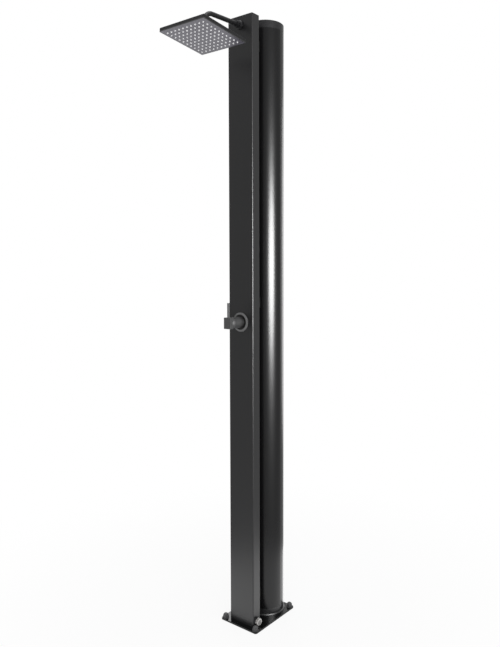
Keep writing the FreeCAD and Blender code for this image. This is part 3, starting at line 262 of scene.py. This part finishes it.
coats = dict(
    column=dict(dark=(0.0085, 0.0085, 0.009), light=(0.012, 0.012, 0.0127), broad=3.0, peel=900,
                rough=0.32, vary=0.08, depth=0.00003, strength=0.07, specular=0.22),
    plate=dict(dark=(0.004, 0.004, 0.0045), light=(0.007, 0.007, 0.0075), broad=9, peel=500,
               rough=0.09, vary=0.06, depth=0.00003, strength=0.12, specular=0.3),
    fittings=dict(dark=(0.012, 0.012, 0.013), light=(0.018, 0.018, 0.0195), broad=25, peel=1400,
                  rough=0.42, vary=0.1, depth=0.00003, strength=0.3, specular=0.2),
    handle=dict(dark=(0.05, 0.05, 0.051), light=(0.066, 0.066, 0.067), broad=25, peel=1400,
                rough=0.5, vary=0.1, depth=0.00003, strength=0.3, specular=0.14),
    caps=dict(dark=(0.045, 0.045, 0.046), light=(0.065, 0.065, 0.067), broad=40, peel=1200,
              rough=0.4, vary=0.12, depth=0.00003, strength=0.3, specular=0.5),
    head=dict(dark=(0.007, 0.007, 0.0077), light=(0.011, 0.011, 0.012), broad=10, peel=1100,
              rough=0.38, vary=0.08, depth=0.00003, strength=0.3, specular=0.2),
)
plastics = dict(
    cap=dict(dark=(0.011, 0.011, 0.012), light=(0.015, 0.015, 0.016), grain=1300, cloud=20,
             rough=0.3, vary=0.08, depth=0.00004, strength=0.3, specular=0.18),
    bridge=dict(dark=(0.003, 0.003, 0.003), light=(0.006, 0.006, 0.006), grain=900, cloud=30,
                rough=0.5, vary=0.1, depth=0.00005, strength=0.4, specular=0.15),
    silicone=dict(dark=(0.8, 0.8, 0.81), light=(0.9, 0.9, 0.91), grain=2200, cloud=60,
                  rough=0.5, vary=0.1, depth=0.00003, strength=0.3, specular=0.5),
    rubber=dict(dark=(0.012, 0.012, 0.012), light=(0.02, 0.02, 0.02), grain=1600, cloud=80,
                rough=0.6, vary=0.1, depth=0.00004, strength=0.4, specular=0.5),
    pipe=dict(dark=(0.55, 0.55, 0.53), light=(0.66, 0.66, 0.64), grain=700, cloud=25,
              rough=0.38, vary=0.1, depth=0.00004, strength=0.2, specular=0.5),
)
faces = dict(
    face=dict(dark=(0.08, 0.078, 0.092), light=(0.108, 0.102, 0.128), black=(0.008, 0.008, 0.009),
              grain=1500, cloud=7, rough=0.28, vary=0.07, depth=0.00003, strength=0.25,
              specular=0.5, way=(0, 0.99307, -0.11754), middle=-0.52322, rim=0.0988),
)
# satin coats with painted shade in their recesses or at their roots
paintedShadeCoats = dict(
    # rosette: painted shade, deep black inside the well round the sleeve; its grey is lighter than
    # the arm fittings' black to stand in for the light its rim catches, a painted sheen
    rosette=dict(dark=(0.105, 0.105, 0.106), light=(0.13, 0.13, 0.131), shadeColour=(0.004, 0.004, 0.004),
                 centre=(0, -0.1, 1.122), along=(1, 0, 1), near=0.0265, far=0.0285, broad=25,
                 peel=1400, rough=0.45, vary=0.1, depth=0.00003, strength=0.3, specular=0.2),
    # sleeve: painted shade, the coat turns deep black over the last few millimetres towards the
    # rosette
    sleeve=dict(dark=(0.05, 0.05, 0.051), light=(0.066, 0.066, 0.067), shadeColour=(0.004, 0.004, 0.004),
                centre=(0, -0.0955, 1.122), along=(0, 1, 0), near=0.004, far=0.026, broad=25,
                peel=1400, rough=0.5, vary=0.1, depth=0.00003, strength=0.3, specular=0.14),
)
tubes = dict(
    tank=dict(dark=(0.003, 0.003, 0.0033), light=(0.0045, 0.0045, 0.005), lines=260,
              lineStretch=(1, 1, 0.0002), cloud=2.5, cloudStretch=(1, 1, 0.4), rough=0.25,
              vary=0.05, depth=0.00003, strength=0.06, specular=0.16),
)
metals = dict(
    nickel=dict(light=(0.55, 0.54, 0.53), dark=(0.32, 0.31, 0.3), lines=900,
                stretch=(1, 0.03, 0.03), dull=120, dullEnds=(0.5, 0.72), rough=0.16, vary=0.2,
                lineRough=0.06, depth=0.00002, strength=0.3),
    steel=dict(light=(0.62, 0.61, 0.6), dark=(0.45, 0.44, 0.43), lines=1200,
               stretch=(1, 1, 0.05), dull=200, dullEnds=(0.5, 0.72), rough=0.25, vary=0.15,
               lineRough=0.06, depth=0.00002, strength=0.3),
    brass=dict(light=(0.75, 0.56, 0.27), dark=(0.52, 0.38, 0.19), lines=700,
               stretch=(1, 0.1, 1), dull=90, dullEnds=(0.5, 0.72), rough=0.27, vary=0.2,
               lineRough=0.06, depth=0.00003, strength=0.3),
)
finishes = {}
for looks, make, ending in ((coats, powderCoat, "Coat"), (plastics, mouldedPlastic, "Plastic"),
                            (faces, faceMoulding, "Moulding"), (paintedShadeCoats, paintedShadeCoat, "Fade"),
                            (tubes, drawnPlastic, "Tube"), (metals, bareMetal, "Metal")):
    for name, look in looks.items():
        finishes[name] = make(name + ending, look)

dressed = dict(
    column=column,
    plate="base_plate",
    fittings="inlet_flange arm_tube arm_flange arm_nut ball_fitting collar_nut",
    handle="handle_block lever_pin",
    rosette="mixer_rosette",
    sleeve="mixer_sleeve",
    caps="anchor_washers anchor_cap_nuts",
    head="head_shell",
    face="face_plate",
    cap="tank_top_cap tank_bottom_cap",
    tank="tank_tube",
    bridge="lower_bridge middle_bridge upper_bridge ball_seat",
    silicone="nozzle_mat",
    rubber="tank_seals inlet_seal tank_grommets ball_seal head_gasket",
    pipe="cold_hose hot_hose riser_hose cartridge",
    nickel="inlet_nipple",
    steel="column_screws bridge_bolts inlet_strainer tank_feed_pipe tank_outlet_pipe"
          " hose_ferrules yoke_pin grub_screw",
    brass="inlet_locknut inlet_manifold check_valve hot_elbow mixer_body cartridge_nut"
          " stem_yoke lever_stem arm_elbow",
)
for finishName, names in dressed.items():
    for name in names.split():
        nodes[name].data.materials.clear()
        nodes[name].data.materials.append(finishes[finishName])
print("finishes on", sum(len(names.split()) for names in dressed.values()), "nodes")


# the hose nipple with its thread cut in; reach counts along +X from the column's side
nipple = dict(
    side=(0.056, -0.0785, 0.024), corners=64, tailBore=0.0075, tail=0.0104, neck=0.0126,
    crest=0.0132, root=0.01205, bore=0.0095, tailEnd=-0.022, seal=0.001, shoulder=0.006,
    threadStart=0.0072, pitch=0.0018, turns=4, lead=0.35, rootFlat=0.12, rise=0.5,
    crestFlat=0.62, end=0.0155, lip=0.0006, seat=0.0131, merge=0.00001, sharpest=28,
)


def nippleOutline(n):
    points = [(n["tailBore"], n["tailEnd"]), (n["tail"], n["tailEnd"]), (n["tail"], n["seal"]),
              (n["neck"], n["seal"]), (n["neck"], n["shoulder"]), (n["crest"], n["shoulder"]),
              (n["crest"], n["threadStart"] - n["pitch"] * n["lead"])]
    for turn in range(n["turns"]):
        start = n["threadStart"] + turn * n["pitch"]
        points += [(n["root"], start), (n["root"], start + n["pitch"] * n["rootFlat"]),
                   (n["crest"], start + n["pitch"] * n["rise"]),
                   (n["crest"], start + n["pitch"] * n["crestFlat"])]
    return points + [(n["crest"], n["end"] - n["lip"]), (n["crest"] - n["lip"], n["end"]),
                     (n["bore"] + n["lip"] / 2, n["end"]), (n["bore"], n["end"] - n["lip"] / 2),
                     (n["bore"], n["seat"]), (n["tailBore"], n["seat"]),
                     (n["tailBore"], n["tailEnd"])]


def turnedPiece(name, points, look):  # a ring pulled along its outline, then closed
    side = look["side"]
    bpy.ops.object.select_all(action="DESELECT")
    radius, reach = points[0]
    bpy.ops.mesh.primitive_circle_add(vertices=look["corners"], radius=radius,
                                      fill_type="NOTHING", rotation=(0, math.radians(90), 0),
                                      location=(side[0] + reach, side[1], side[2]))
    piece = bpy.context.object
    piece.name = name
    bpy.ops.object.transform_apply(location=True, rotation=True, scale=True)
    bpy.ops.object.mode_set(mode="EDIT")
    bpy.ops.mesh.select_all(action="SELECT")
    for nextRadius, nextReach in points[1:]:
        bpy.ops.mesh.extrude_region()
        bpy.ops.transform.translate(value=(nextReach - reach, 0, 0))
        size = nextRadius / radius
        bpy.ops.transform.resize(value=(1, size, size),
                                 center_override=(side[0] + nextReach, side[1], side[2]))
        radius, reach = nextRadius, nextReach
    bpy.ops.mesh.select_all(action="SELECT")
    bpy.ops.mesh.remove_doubles(threshold=look["merge"])
    bpy.ops.mesh.normals_make_consistent(inside=False)
    bpy.ops.object.mode_set(mode="OBJECT")
    bpy.ops.object.shade_smooth_by_angle(angle=math.radians(look["sharpest"]))
    return piece


hoseNipple = turnedPiece("hose_nipple", nippleOutline(nipple), nipple)
hoseNipple.data.materials.append(finishes["nickel"])
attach(hoseNipple, "post")
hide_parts("inlet_nipple")
print("hose nipple turned,", len(hoseNipple.data.polygons), "faces")


# a pale floor that keeps the post's shadow and turns white away from it, under a white world
stage = dict(width=60, drop=0.0005, paint=(0.82, 0.82, 0.82, 1), rough=0.9, near=0.3, far=1.6,
             nearWhite=0.88, farWhite=1.0, sky=(1, 1, 1, 1), unseenLight=0.5, seenLight=1.0)


def addFloor():
    bpy.ops.object.select_all(action="DESELECT")
    bpy.ops.mesh.primitive_plane_add(size=stage["width"], location=(0, 0, -stage["drop"]))
    floor = bpy.context.object
    floor.name = "floor"
    finish = Finish("floorPaint")
    finish.set(base_color=stage["paint"], roughness=stage["rough"])
    away = finish.node("VectorMath", dict(operation="LENGTH"), [finish.place], output=1)
    white = finish.node("MapRange", dict(interpolation_type="SMOOTHSTEP"),
                        {"Value": away, "From Min": stage["near"], "From Max": stage["far"],
                         "To Min": stage["nearWhite"], "To Max": stage["farWhite"]})
    painted = Value(finish, finish.shader.outputs[0])
    glow = finish.node("Emission", {}, {})
    blend = finish.node("MixShader", {}, [finish.seen() * white, painted, glow])
    finish.tree.links.new(blend.socket, finish.tree.nodes["Material Output"].inputs["Surface"])
    floor.data.materials.append(finish.material)


def addWorld():
    world = bpy.data.worlds.new("studio")
    bpy.context.scene.world = world
    world.use_nodes = True
    graph = Graph(world.node_tree)
    sky = graph.tree.nodes["Background"]
    sky.inputs["Color"].default_value = stage["sky"]
    light = graph.node("MapRange", {}, {"Value": graph.seen(), "To Min": stage["unseenLight"],
                                        "To Max": stage["seenLight"]})
    graph.tree.links.new(light.socket, sky.inputs["Strength"])


addCamera()
addLamps()
addFloor()
addWorld()
bpy.context.scene.view_settings.view_transform = "Standard"
print("scene ready")
